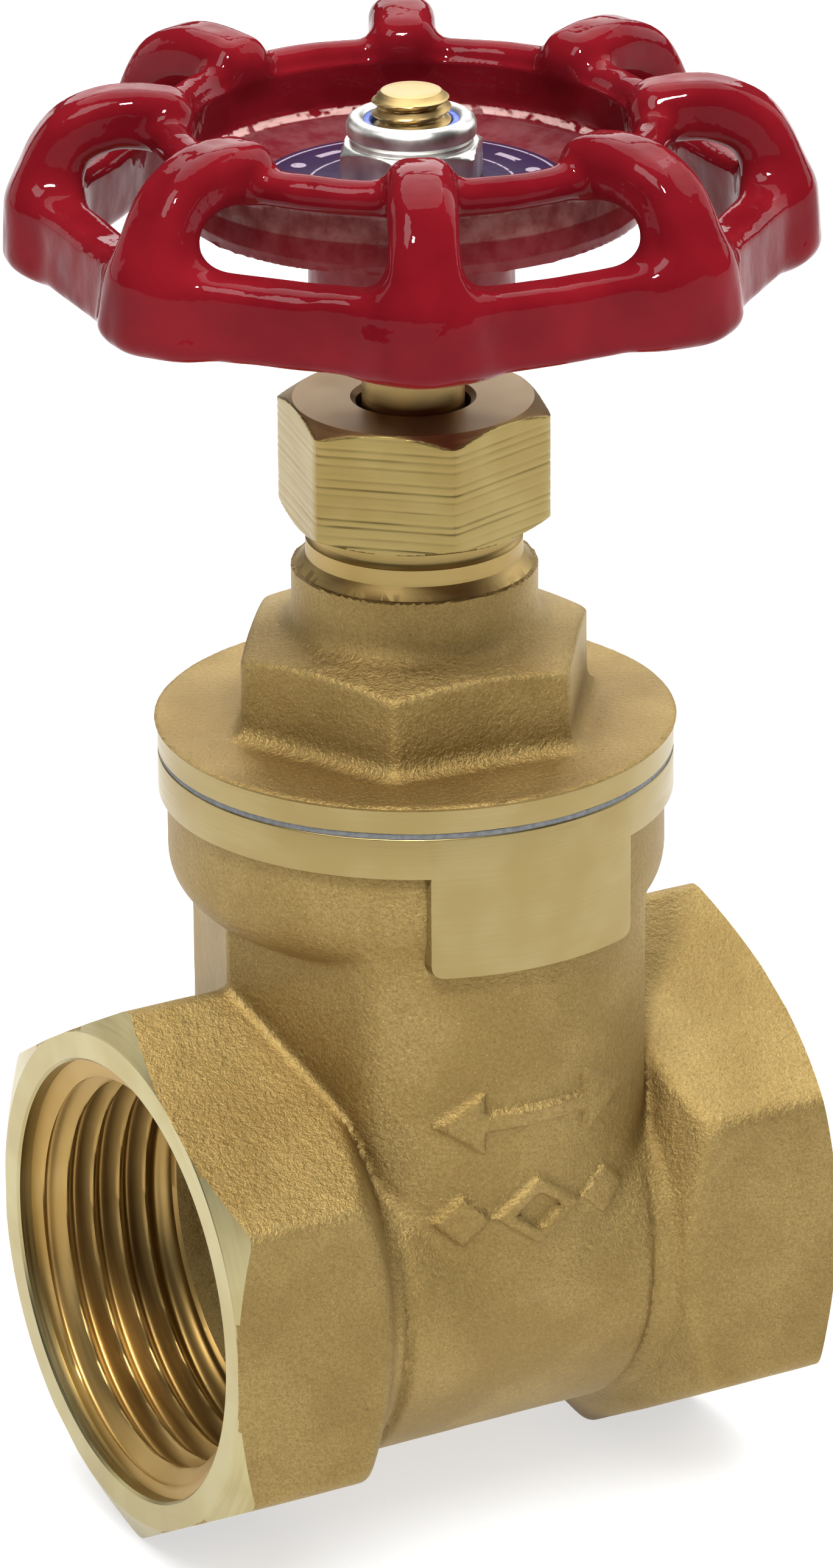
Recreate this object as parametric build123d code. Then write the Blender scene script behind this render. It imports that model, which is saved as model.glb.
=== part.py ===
"""Brass gate valve with female pipe threads, a non-rising stem and a cast iron handwheel.

Frame: the origin is where the stem axis crosses the pipe axis. +X runs along the pipe towards the
outlet, +Z runs up the stem. Millimetres. The gate is modelled shut, seated in the body.
"""

from build123d import *
import math
import os

# ---- pipe ends: hexagons with a corner at the top and at the bottom, G1 female thread
FACE_TO_FACE = 52.7
HEX_CORNER_R = 22.5
END_FACE_R = 19.7                 # circle that the turned chamfer leaves on each end face
END_CHAMFER = 1.6                 # its depth along the pipe at a corner
HEX_BACK_X = 15.1                 # inner end of a hexagon's corners
WAIST_R = 17.0                    # depth of the waist between the hexagons below the pipe axis
WAIST_HALF_Y = 18.4               # its half width at the sides
WAIST_X = 11.3                    # where the waist starts to flare out to a hexagon
THREAD_CREST_R = 15.145           # G1: minor diameter of the female thread
MOUTH_R = 17.35                   # plain counterbore in front of the thread
MOUTH_DEPTH = 1.2
THREAD_INNER_X = 13.9             # inner end of the thread
RELIEF_R = 14.9                   # smooth bore behind the thread
RELIEF_INNER_X = 12.6

# ---- seats and gate
BORE_R = 12.0
SEAT_R = 13.8
SEAT_HALF_GAP = 7.0               # half thickness of the gate on the pipe axis
SEAT_TAPER = 5.0                  # degrees, each side
SEAT_CLEARANCE = 0.03
GATE_R = 13.6
GATE_BOSS_R = 6.4
GATE_BOSS_TOP = 17.5
GUIDE_HALF_WIDTH = 1.2
GUIDE_CLEARANCE = 0.15
GUIDE_TIP_Y = 12.6
GUIDE_TOP = 30.0
CAVITY_HALF_X = 9.2
CAVITY_HALF_Y = 14.6
CAVITY_CORNER_R = 4.0
CAVITY_R = 14.2                   # round bottom of the chamber, about the pipe axis
CAVITY_ROUND_X = 9.0              # its half length

# ---- body neck and flange
BARREL_HALF_X = 16.6
BARREL_HALF_Y = 18.75
BARREL_TOP = 31.0
CAST_FLANGE_R = 19.07
FLANGE_FOOT_R = 4.5               # rounding of the flange's underside
FLANGE_FOOT_TOP = 31.5
FLANGE_FOOT_BOTTOM = 27.2
FLANGE_R = 19.7
BAND_BOTTOM = 36.11
BODY_TOP = 39.36
PAD_WIDTH = 17.2
PAD_BOTTOM = 28.1
PAD_CORNER_R = 1.0
NECK_BORE_R = 16.8
NECK_BORE_BOTTOM = 30.5

# ---- bonnet
GASKET_THICKNESS = 0.4
GASKET_R = 19.6
GASKET_HOLE_R = 17.0
BONNET_FLANGE_TOP = 42.04
SKIRT_R = 16.75
SKIRT_BOTTOM = 31.5
SKIRT_BORE_R = 14.8
DOME_START = 39.6
DOME_R = 10.0
DOME_TOP = 44.4
BONNET_HEX_CORNER_R = 14.47
BONNET_HEX_TURN = 174.4           # degrees about the stem axis
BONNET_HEX_TOP = 48.6
BONNET_HEX_SHOULDER_R = 13.2
NECK_R = 9.4
NECK_FOOT = 49.9
NECK_CONE = ((9.34, 53.8), (8.27, 54.97))
NECK_TOP = 56.2
NUT_THREAD_R = 7.6
NUT_THREAD_TOP = 63.6
COLLAR_BORE_R = 6.8
COLLAR_SHOULDER = 49.4
THROAT_R = 3.95
BOX_BORE_R = 5.95
BOX_FLOOR = 53.0

# ---- stem
STEM_R = 3.87
STEM_THREAD_R = 4.0
STEM_THREAD_BORE_R = 4.05
STEM_TIP = 12.2
STEM_TIP_CHAMFER = 0.8
COLLAR_R = 6.4
COLLAR_BOTTOM = 46.7
WASHER_THICKNESS = 0.5
RETAINER_BORE_R = 4.2
RETAINER_THICKNESS = 2.0
SQUARE_BOTTOM = 74.0
SQUARE_TOP = 83.2
SQUARE_SIDE = 6.0
TOP_THREAD_R = 2.95
STEM_TOP = 91.2
STEM_TOP_CHAMFER = 0.75

# ---- packing
PACKING_INNER_R = 3.9
PACKING_OUTER_R = 5.92
PACKING_COUNT = 3
PACKING_PITCH = 2.3
FOLLOWER_R = 5.88
PACKING_NUT_CORNER_R = 10.68
PACKING_NUT_TURN = 137.65
PACKING_NUT_BOTTOM = 57.9
PACKING_NUT_TOP = 67.3
PACKING_NUT_FACE_R = 9.25
PACKING_NUT_CHAMFER = 1.2
PACKING_NUT_CEILING = 64.8
PACKING_NUT_BORE_R = 7.65
PACKING_NUT_HOLE_R = 4.35

# ---- handwheel
LOBES = 8
LOBE_TURN = -117.2                # direction of one lobe, degrees about the stem axis
RIM_LOBE_R = 30.9
RIM_WAIST_R = 27.4                # outer radius of the rim half way between two lobes
RIM_BOTTOM = 78.2
RIM_TOP = 84.6
RIM_WALL = 4.2
RIM_EDGE_R = 1.2
RIB_WIDTH = 5.4
RIB_THICKNESS = 4.6
RIB_SHOULDER = ((30.2, 82.0), (28.2, 88.4), (25.4, 91.1), (21.0, 92.0))
RIB_INNER_R = 17.2
RIB_EDGE_R = 1.2
RING_R = 18.0
RING_Z = 88.4
RING_HALF_WIDTH = 1.6
RING_HALF_HEIGHT = 1.6
BOWL_OUTER_R = 17.6
BOWL_INNER_R = 16.6
PLATE_BOTTOM = 82.3
PLATE_TOP = 83.65
HUB_R = 7.9
HUB_BOTTOM = SQUARE_BOTTOM
HUB_FILLET = 1.6
HUB_SQUARE_SIDE = 6.1

# ---- label disc, self-locking nut and its nylon ring
LABEL_R = 11.66
LABEL_HOLE_R = 3.2
LABEL_THICKNESS = 0.4
LOCK_NUT_CORNER_R = 5.77
LOCK_NUT_TURN = -126.3
LOCK_NUT_HEX_TOP = 87.3
LOCK_NUT_TOP = 89.35
LOCK_NUT_COLLAR_R = 4.85
LOCK_NUT_BORE_R = 3.0
LOCK_NUT_POCKET_R = 3.8
LOCK_NUT_POCKET_BOTTOM = 87.5
LOCK_NUT_LIP_R = 3.5
LOCK_NUT_LIP = 0.35
INSERT_BORE_R = 2.98

SPINDLE = Axis.Z
PIPE = Axis.X
HALF = FACE_TO_FACE / 2
LARGE = 100.0
GASKET_TOP = BODY_TOP + GASKET_THICKNESS
LABEL_TOP = PLATE_TOP + LABEL_THICKNESS
SEAT_SLOPE = math.tan(math.radians(SEAT_TAPER))


def drum(radius, bottom, top):
    """Upright cylinder about the stem axis."""
    return Pos(0, 0, bottom) * extrude(Circle(radius), top - bottom)


def pipe_drum(radius, start, end):
    """Cylinder about the pipe axis."""
    return extrude(Plane.YZ.offset(start) * Circle(radius), end - start)


def turned(points):
    """Solid turned about the stem axis from (radius, height) points, closed along the axis."""
    outline = Polyline([(r, 0, z) for r, z in points], close=True)
    return revolve(make_face(outline), SPINDLE)


def turned_on_pipe(points):
    """Solid turned about the pipe axis from (x, radius) points, closed along the axis."""
    outline = Polyline([(x, 0, r) for x, r in points], close=True)
    return revolve(make_face(outline), PIPE)


def hexagon(corner_r, turn, bottom, top):
    """Upright hexagonal prism about the stem axis."""
    return Pos(0, 0, bottom) * extrude(RegularPolygon(corner_r, 6, rotation=turn), top - bottom)


def around(solid, count, first):
    """Copies of a solid spaced evenly about the stem axis."""
    return [Rot(0, 0, first + i * 360 / count) * solid for i in range(count)]


def one(shape):
    """The single solid of a shape that has to be in one piece."""
    solids = shape.solids()
    if len(solids) != 1:
        raise ValueError(f"expected one solid, got {len(solids)}")
    return solids[0]


# ---- body -----------------------------------------------------------------------------------
def flange_casting():
    """Round neck flange with its underside curving in to the barrel."""
    centre_r = CAST_FLANGE_R - FLANGE_FOOT_R
    drop = FLANGE_FOOT_TOP - FLANGE_FOOT_BOTTOM
    foot_r = centre_r + math.sqrt(FLANGE_FOOT_R ** 2 - drop ** 2)
    slope = math.asin(drop / FLANGE_FOOT_R) / 2
    middle = (centre_r + FLANGE_FOOT_R * math.cos(slope), FLANGE_FOOT_TOP - FLANGE_FOOT_R * math.sin(slope))
    top = BODY_TOP - 1
    curve = ThreePointArc((foot_r, 0, FLANGE_FOOT_BOTTOM), (middle[0], 0, middle[1]),
                          (CAST_FLANGE_R, 0, FLANGE_FOOT_TOP))
    sides = Polyline((CAST_FLANGE_R, 0, FLANGE_FOOT_TOP), (CAST_FLANGE_R, 0, top), (0, 0, top),
                     (0, 0, FLANGE_FOOT_BOTTOM), (foot_r, 0, FLANGE_FOOT_BOTTOM))
    return revolve(make_face(curve + sides), SPINDLE)


def body_outside():
    """Hexagonal ends and round waist, the upright barrel, the flange and its two machined pads."""
    prism = extrude(Plane.YZ * RegularPolygon(HEX_CORNER_R, 6, rotation=30), HALF, both=True)
    side = [(WAIST_X, WAIST_R), (HEX_BACK_X, HEX_CORNER_R),
            (HALF - END_CHAMFER, HEX_CORNER_R), (HALF, END_FACE_R), (HALF, 0)]
    mirrored = [(-x, r) for x, r in reversed(side)]
    ends = prism & turned_on_pipe(mirrored + side)
    barrel = extrude(Ellipse(BARREL_HALF_X, BARREL_HALF_Y), BARREL_TOP)
    waist_x = (WAIST_X + HEX_BACK_X) / 2
    waist = extrude(Plane.YZ * Ellipse(WAIST_HALF_Y, WAIST_R), waist_x, both=True)
    flange = flange_casting()
    pad_height = BODY_TOP - PAD_BOTTOM
    pad_face = RectangleRounded(PAD_WIDTH, pad_height, PAD_CORNER_R)
    pads = extrude(Plane.XZ * Pos(0, PAD_BOTTOM + pad_height / 2) * pad_face, LARGE, both=True)
    above = Pos(0, 0, BAND_BOTTOM + LARGE / 2) * Box(LARGE, LARGE, LARGE)
    machined = drum(FLANGE_R, PAD_BOTTOM - 1, BODY_TOP) & (pads + above)
    return ends + waist + barrel + flange + machined


def between_seats(clearance, height):
    """Tapered slab between the two seat planes, wider at the top."""
    low, high = (SEAT_HALF_GAP + clearance + z * SEAT_SLOPE for z in (-height, height))
    outline = Polyline((-low, 0, -height), (low, 0, -height), (high, 0, height),
                       (-high, 0, height), close=True)
    return extrude(make_face(outline), LARGE, both=True)


def body_inside():
    """Gate chamber with its guides and seat rings, and the threaded neck bore above it."""
    well = RectangleRounded(2 * CAVITY_HALF_X, 2 * CAVITY_HALF_Y, CAVITY_CORNER_R)
    chamber = extrude(well, NECK_BORE_BOTTOM)
    chamber += pipe_drum(CAVITY_R, -CAVITY_ROUND_X, CAVITY_ROUND_X)
    guide_y = LARGE / 2 + GUIDE_TIP_Y
    guides = [Pos(0, s * guide_y, GUIDE_TOP / 2) * Box(2 * GUIDE_HALF_WIDTH, LARGE, GUIDE_TOP)
              for s in (-1, 1)]
    seats = pipe_drum(SEAT_R, -LARGE, LARGE) - between_seats(SEAT_CLEARANCE, SEAT_R + 1)
    return chamber - guides - seats + drum(NECK_BORE_R, NECK_BORE_BOTTOM, LARGE)


def body_port():
    """Thread bore of the outlet end: counterbore, crest bore, relief and the way to the seat."""
    thread_x = HALF - MOUTH_DEPTH
    ramp = MOUTH_R - THREAD_CREST_R
    return turned_on_pipe([
        (0, 0), (0, BORE_R), (RELIEF_INNER_X, BORE_R), (RELIEF_INNER_X, RELIEF_R),
        (THREAD_INNER_X, RELIEF_R), (THREAD_INNER_X, THREAD_CREST_R),
        (thread_x - ramp / 2, THREAD_CREST_R), (thread_x, MOUTH_R), (LARGE, MOUTH_R), (LARGE, 0)])


def body():
    port = body_port()
    return one(body_outside() - body_inside() - port - port.mirror(Plane.YZ))


# ---- bonnet and what seals it -----------------------------------------------------------------
def bonnet():
    outside = turned([
        (0, SKIRT_BOTTOM), (SKIRT_R, SKIRT_BOTTOM), (SKIRT_R, GASKET_TOP), (FLANGE_R, GASKET_TOP),
        (FLANGE_R, BONNET_FLANGE_TOP), (NECK_R, BONNET_FLANGE_TOP), (NECK_R, NECK_CONE[0][1]),
        NECK_CONE[1], (NECK_CONE[1][0], NECK_TOP), (NUT_THREAD_R, NECK_TOP),
        (NUT_THREAD_R, NUT_THREAD_TOP), (0, NUT_THREAD_TOP)])
    shoulder = turned([
        (0, BONNET_FLANGE_TOP), (LARGE, BONNET_FLANGE_TOP), (LARGE, BONNET_HEX_TOP),
        (BONNET_HEX_SHOULDER_R, BONNET_HEX_TOP), (NECK_R, NECK_FOOT), (0, NECK_FOOT)])
    spanner_hex = hexagon(BONNET_HEX_CORNER_R, BONNET_HEX_TURN, BONNET_FLANGE_TOP, NECK_FOOT)
    inside = turned([
        (0, SKIRT_BOTTOM - 1), (SKIRT_BORE_R, SKIRT_BOTTOM - 1), (SKIRT_BORE_R, DOME_START),
        (DOME_R, DOME_TOP - 1), (DOME_R, DOME_TOP), (COLLAR_BORE_R, DOME_TOP),
        (COLLAR_BORE_R, COLLAR_SHOULDER), (THROAT_R, COLLAR_SHOULDER), (THROAT_R, BOX_FLOOR),
        (BOX_BORE_R, BOX_FLOOR), (BOX_BORE_R, LARGE), (0, LARGE)])
    return one(outside + (spanner_hex & shoulder) - inside)


def washer(outer_r, inner_r, bottom, top):
    return one(drum(outer_r, bottom, top) - drum(inner_r, bottom, top))


def packing_nut():
    foot = PACKING_NUT_BOTTOM
    chamfers = turned([
        (0, foot), (PACKING_NUT_FACE_R, foot), (PACKING_NUT_CORNER_R, foot + PACKING_NUT_CHAMFER / 2),
        (PACKING_NUT_CORNER_R, PACKING_NUT_TOP - PACKING_NUT_CHAMFER),
        (PACKING_NUT_FACE_R, PACKING_NUT_TOP), (0, PACKING_NUT_TOP)])
    blank = hexagon(PACKING_NUT_CORNER_R, PACKING_NUT_TURN, foot, PACKING_NUT_TOP) & chamfers
    bore = drum(PACKING_NUT_BORE_R, foot, PACKING_NUT_CEILING)
    return one(blank - bore - drum(PACKING_NUT_HOLE_R, foot, PACKING_NUT_TOP))


# ---- stem and gate ------------------------------------------------------------------------------
def stem():
    """Threaded lower end, captive collar, smooth shank, square for the wheel, threaded top."""
    tip_r = STEM_THREAD_R - STEM_TIP_CHAMFER
    shaft = turned([
        (0, STEM_TIP), (tip_r, STEM_TIP), (STEM_THREAD_R, STEM_TIP + STEM_TIP_CHAMFER),
        (STEM_THREAD_R, COLLAR_BOTTOM), (COLLAR_R, COLLAR_BOTTOM),
        (COLLAR_R, COLLAR_SHOULDER - WASHER_THICKNESS),
        (STEM_R, COLLAR_SHOULDER - WASHER_THICKNESS), (STEM_R, SQUARE_TOP), (TOP_THREAD_R, SQUARE_TOP),
        (TOP_THREAD_R, STEM_TOP - STEM_TOP_CHAMFER),
        (TOP_THREAD_R - STEM_TOP_CHAMFER, STEM_TOP), (0, STEM_TOP)])
    height = SQUARE_TOP - SQUARE_BOTTOM
    square = Box(SQUARE_SIDE, SQUARE_SIDE, height)
    flats = Pos(0, 0, SQUARE_BOTTOM + height / 2) * (Box(LARGE, LARGE, height) - square)
    return one(shaft - flats)


def wedge():
    """Solid tapered gate with a threaded boss on top and a groove down each side for the guides."""
    disc = pipe_drum(GATE_R, -LARGE, LARGE) & between_seats(0, GATE_R)
    boss = drum(GATE_BOSS_R, GATE_BOSS_TOP / 2, GATE_BOSS_TOP)
    groove_y = LARGE / 2 + GUIDE_TIP_Y - GUIDE_CLEARANCE
    groove_width = 2 * (GUIDE_HALF_WIDTH + GUIDE_CLEARANCE)
    grooves = [Pos(0, s * groove_y, 0) * Box(groove_width, LARGE, LARGE) for s in (-1, 1)]
    return one(disc + boss - grooves - drum(STEM_THREAD_BORE_R, -LARGE, LARGE))


# ---- handwheel ------------------------------------------------------------------------------------
def wheel_rim():
    """Eight-cornered rim band whose sides are drawn in half way between the lobes."""
    step = math.radians(180 / LOBES)
    start = math.radians(LOBE_TURN)

    def star(lobe_r, waist_r):
        radii = [lobe_r, waist_r] * LOBES
        return make_face(Polyline([(r * math.cos(start + i * step), r * math.sin(start + i * step))
                                   for i, r in enumerate(radii)], close=True))

    ring = star(RIM_LOBE_R, RIM_WAIST_R) - star(RIM_LOBE_R - RIM_WALL, RIM_WAIST_R - RIM_WALL)
    band = Pos(0, 0, RIM_BOTTOM) * extrude(ring, RIM_TOP - RIM_BOTTOM)
    return chamfer(band.edges().filter_by(GeomType.LINE).filter_by(
        lambda e: abs(e.tangent_at(0).Z) < 0.5), RIM_EDGE_R)


def wheel_rib():
    """Arched rib of one lobe: up from the rim, over the shoulder and in to the ring."""
    (r0, z0), (r1, z1), (r2, z2), (r3, z3) = RIB_SHOULDER
    t = RIB_THICKNESS
    outer = [(r0, 0, z0), (r1, 0, z1), (r2, 0, z2), (r3, 0, z3), (RIB_INNER_R, 0, z3 - 0.3)]
    inner = [(RIB_INNER_R, 0, z3 - t), (r3, 0, z3 - t), (r2 - t / 3, 0, z2 - t),
             (r1 - t, 0, z1 - t / 2), (r0 - t - 1, 0, z0)]
    rib = extrude(make_face(Polyline(outer + inner, close=True)), RIB_WIDTH / 2, both=True)
    ends = rib.edges().filter_by(Axis.Y)
    return chamfer(rib.edges() - ends, RIB_EDGE_R)


def handwheel():
    plate = turned([
        (0, HUB_BOTTOM), (HUB_R, HUB_BOTTOM), (HUB_R, PLATE_BOTTOM - HUB_FILLET),
        (HUB_R + HUB_FILLET, PLATE_BOTTOM), (BOWL_OUTER_R - 0.5, PLATE_BOTTOM),
        (BOWL_OUTER_R, PLATE_BOTTOM + 0.5), (BOWL_OUTER_R, RING_Z), (BOWL_INNER_R, RING_Z),
        (BOWL_INNER_R, PLATE_TOP), (0, PLATE_TOP)])
    section = Plane.XZ * Pos(RING_R, RING_Z) * Ellipse(RING_HALF_WIDTH, RING_HALF_HEIGHT)
    ring = revolve(section, SPINDLE)
    ribs = around(wheel_rib(), LOBES, LOBE_TURN)
    wheel = plate + ring + wheel_rim() + ribs
    height = PLATE_TOP - HUB_BOTTOM
    hole = Pos(0, 0, HUB_BOTTOM + height / 2) * Box(HUB_SQUARE_SIDE, HUB_SQUARE_SIDE, height)
    return one(wheel - hole)


def lock_nut():
    face_r = LOCK_NUT_COLLAR_R
    cone = turned([
        (0, LABEL_TOP), (face_r, LABEL_TOP), (LOCK_NUT_CORNER_R, LABEL_TOP + 0.5),
        (LOCK_NUT_CORNER_R, LOCK_NUT_HEX_TOP - 0.5), (face_r, LOCK_NUT_HEX_TOP), (0, LOCK_NUT_HEX_TOP)])
    hexed = hexagon(LOCK_NUT_CORNER_R, LOCK_NUT_TURN, LABEL_TOP, LOCK_NUT_HEX_TOP) & cone
    collar = turned([
        (0, LOCK_NUT_HEX_TOP), (face_r, LOCK_NUT_HEX_TOP), (face_r, LOCK_NUT_TOP - 0.6),
        (face_r - 0.6, LOCK_NUT_TOP), (0, LOCK_NUT_TOP)])
    pocket = drum(LOCK_NUT_POCKET_R, LOCK_NUT_POCKET_BOTTOM, LOCK_NUT_TOP - LOCK_NUT_LIP)
    mouth = drum(LOCK_NUT_LIP_R, LOCK_NUT_POCKET_BOTTOM, LOCK_NUT_TOP)
    return one(hexed + collar - pocket - mouth - drum(LOCK_NUT_BORE_R, LABEL_TOP, LOCK_NUT_TOP))


def pieces():
    """Every node of the valve by name."""
    retainer_top = COLLAR_BOTTOM - 0.05
    made = {
        "body": body(),
        "bonnet": bonnet(),
        "bonnet_gasket": washer(GASKET_R, GASKET_HOLE_R, BODY_TOP, GASKET_TOP),
        "wedge": wedge(),
        "stem": stem(),
        "thrust_washer": washer(COLLAR_R, THROAT_R, COLLAR_SHOULDER - WASHER_THICKNESS + 0.02,
                                COLLAR_SHOULDER),
        "stem_retaining_ring": washer(COLLAR_BORE_R, RETAINER_BORE_R,
                                      retainer_top - RETAINER_THICKNESS, retainer_top),
        "gland_follower": washer(FOLLOWER_R, THROAT_R, BOX_FLOOR + PACKING_COUNT * PACKING_PITCH,
                                 PACKING_NUT_CEILING),
        "packing_nut": packing_nut(),
        "handwheel": handwheel(),
        "name_plate": washer(LABEL_R, LABEL_HOLE_R, PLATE_TOP, LABEL_TOP),
        "handwheel_nut": lock_nut(),
        "nut_nylon_ring": washer(LOCK_NUT_POCKET_R, INSERT_BORE_R, LOCK_NUT_POCKET_BOTTOM,
                                 LOCK_NUT_TOP - LOCK_NUT_LIP),
    }
    for i in range(PACKING_COUNT):
        bottom = BOX_FLOOR + i * PACKING_PITCH
        made[f"packing_ring_{i + 1}"] = washer(PACKING_OUTER_R, PACKING_INNER_R, bottom,
                                               bottom + PACKING_PITCH)
    return made


os.makedirs("parts", exist_ok=True)
for name, solid in pieces().items():
    solid.label = name
    export_step(solid, f"parts/{name}.step")
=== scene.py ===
"""Looks of the brass gate valve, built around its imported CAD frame.

Shapes are worked out in millimetres in the frame of the CAD: origin where the stem axis crosses
the pipe axis, +X along the pipe, +Z up the stem. Castings are signed distance fields turned into
meshes and then machined with booleans. Turned parts are skins over rings of points.
"""

import math

import bpy
import numpy as np
import openvdb
from mathutils import Matrix, Vector


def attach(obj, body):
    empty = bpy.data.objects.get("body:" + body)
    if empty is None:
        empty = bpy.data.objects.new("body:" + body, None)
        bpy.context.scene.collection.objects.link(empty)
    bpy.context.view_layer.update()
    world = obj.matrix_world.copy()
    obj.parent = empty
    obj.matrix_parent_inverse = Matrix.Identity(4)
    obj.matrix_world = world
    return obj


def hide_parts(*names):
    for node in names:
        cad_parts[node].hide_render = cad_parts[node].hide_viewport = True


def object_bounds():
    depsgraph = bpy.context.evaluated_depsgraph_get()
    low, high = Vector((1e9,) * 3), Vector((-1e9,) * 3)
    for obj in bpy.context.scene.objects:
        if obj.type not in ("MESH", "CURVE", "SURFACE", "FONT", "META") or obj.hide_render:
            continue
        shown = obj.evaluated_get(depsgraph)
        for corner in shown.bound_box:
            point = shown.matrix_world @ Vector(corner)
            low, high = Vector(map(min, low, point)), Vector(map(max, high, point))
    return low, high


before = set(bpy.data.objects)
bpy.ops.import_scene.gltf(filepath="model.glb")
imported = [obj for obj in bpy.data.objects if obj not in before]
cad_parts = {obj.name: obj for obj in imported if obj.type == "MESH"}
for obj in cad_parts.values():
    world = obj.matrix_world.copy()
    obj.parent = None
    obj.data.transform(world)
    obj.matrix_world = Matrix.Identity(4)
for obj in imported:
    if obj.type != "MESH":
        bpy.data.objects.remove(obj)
cad_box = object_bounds()

MM = 0.001
TAU = 2 * math.pi

# ---- pipe ends
HALF = 26.35                      # half the face to face length
HEX_CORNER_R = 22.5
HEX_BACK = ((11.3, 17.0), (15.1, 22.5))   # (x, radius) line of the cone behind a hexagon
END_FACE_R = 19.7
END_CHAMFER = 1.6
THREAD_CREST_R = 15.145
THREAD_DEPTH = 1.4
THREAD_PITCH = 2.309
THREAD_INNER_X = 13.9
MOUTH_R = 17.35
MOUTH_DEPTH = 1.2
RELIEF_R = 14.9
RELIEF_INNER_X = 12.6
BORE_R = 12.0

# ---- body neck
WAIST_HALF_Y = 18.4
WAIST_R = 17.0
WAIST_HALF_X = 16.0
COLLAR_LINE = 0.42                # depth of the crease between the barrel and the collar of a hexagon
COLLAR_LINE_X = 10.9
COLLAR_LINE_WIDTH = 0.45
COLLAR_LINE_TOP = 9.0             # height at which the crease has faded out
MOTIF_HEIGHT = 0.46               # how far the raised marks stand proud
ARROW_Z = 15.6
LOZENGES_Z = 7.6
BARREL_HALF_X = 16.6
BARREL_HALF_Y = 18.75
CREASE_ANGLE = math.radians(17)   # slope of the two flats that meet on each side that faces a pipe end
CAST_FLANGE_R = 19.07
FLANGE_FOOT_R = 4.5
FLANGE_FOOT_TOP = 31.5
FLANGE_R = 19.7
BAND_BOTTOM = 36.11
BODY_TOP = 39.36
PAD_WIDTH = 17.2
PAD_BOTTOM = 28.1
NECK_BORE_R = 16.8
NECK_BORE_BOTTOM = 30.5
CHAMBER_HALF = (9.2, 14.6)
CHAMBER_CORNER_R = 4.0
CHAMBER_R = 14.2
CHAMBER_ROUND_X = 9.0
SEAT_R = 13.8
SEAT_HALF_GAP = 7.03
SEAT_SLOPE = math.tan(math.radians(5))
GUIDE_TIP_Y = 12.6
GUIDE_HALF_WIDTH = 1.2
GUIDE_TOP = 30.0
BODY_SKIN = 0.05                  # mean depth that the cast unevenness takes off the body

# ---- bonnet
GASKET_TOP = 39.76
BONNET_FLANGE_TOP = 42.04
BONNET_HEX_APOTHEM = 14.47 * math.cos(math.pi / 6)
BONNET_HEX_TURN = math.radians(174.4)
BONNET_HEX_TOP = 48.6
BONNET_CROWN_R = 13.0
BONNET_CROWN_SLOPE = 2.9
BONNET_CROWN_TOP = 49.9
BONNET_SKIN = 0.045
BONNET_SKIRT_R = 16.75
BONNET_SKIRT_BOTTOM = 31.5
NECK_R = 9.4
NECK_SHOULDER = 53.8
NECK_TOP = 56.5
NUT_THREAD_R = 7.6
NUT_THREAD_TOP = 63.6
NUT_THREAD_ROOT_R = 6.9
METRIC_PITCH = 1.0                     # pitch of the stem's top thread and of the packing nut's thread

# ---- packing nut
NUT_CORNER_R = 10.68
NUT_TURN = math.radians(137.65)
NUT_BOTTOM = 57.9
NUT_TOP = 67.3
NUT_CEILING = 64.8
NUT_BORE_R = 7.65
NUT_HOLE_R = 4.35
NUT_GROOVES = 12
NUT_GROOVE_DEPTHS = (0.02, 0.055)
NUT_GROOVE_WIDTH = 0.13

# ---- stem
STEM_R = 3.87
STEM_TIP = 12.2
COLLAR_R = 6.4
COLLAR_BOTTOM = 46.7
COLLAR_TOP = 48.9
SQUARE_BOTTOM = 74.0
SQUARE_TOP = 83.2
SQUARE_SIDE = 6.0
STEM_TOP = 91.2

# ---- handwheel
LOBES = 8
LOBE_TURN = math.radians(-117.2)
RIM_LOBE_R = 30.9
RIM_WAIST_R = 27.4
RIM_WALL = 4.2
RIM_BOTTOM = 78.2
RIM_TOP = 84.6
RIB_LINE = ((27.45, 79.6), (27.4, 82.0), (27.1, 84.4), (26.3, 86.6), (24.9, 88.4), (22.6, 89.4),
            (20.4, 89.55), (18.3, 89.3))   # middle line of a rib, from the rim up to the ring
RING_R = 18.04
RING_Z = 88.5
RING_TUBE = 1.5
RIB_HALF_THICKNESS = 2.45
RIB_HALF_WIDTH = 2.7
RIB_SPREAD = 1.2                  # added to the half width where a rib meets the rim
SKIRT_WALL_R = 16.98              # middle of the wall between the plate and the ring
BOWL_OUTER_R = 17.55
FLASH_R = 16.35                   # ragged line of casting flash at the foot of that wall
FLASH_Z = 84.75
PLATE_BOTTOM = 82.3
PLATE_TOP = 83.65
HUB_R = 7.9

# ---- label disc and wheel nut
LABEL_R = 11.66
LABEL_HOLE_R = 3.2
LABEL_TOP = 84.05
MARKS = 16                        # plain marks printed around the disc
MARK_R = 9.5
LOCK_CORNER_R = 5.77
LOCK_TURN = math.radians(-126.3)
LOCK_HEX_TOP = 87.3
LOCK_TOP = 89.35
LOCK_COLLAR_R = 4.85
LOCK_POCKET_R = 3.8
LOCK_POCKET_BOTTOM = 87.5
NYLON_TOP = 88.8
SQUARE_HOLE_HALF = 3.05


# ---- fields -----------------------------------------------------------------------------------
HEX_FLAT = 0.8660254              # from a hexagon's middle to its flat side, for corners 1 away


def smooth_max(a, b, k):
    """The larger of two fields, rounded over a width k where they meet."""
    h = np.clip(0.5 + 0.5 * (a - b) / k, 0, 1)
    return a * h + b * (1 - h) + k * h * (1 - h)


def smooth_min(a, b, k):
    return -smooth_max(-a, -b, k)


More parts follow.
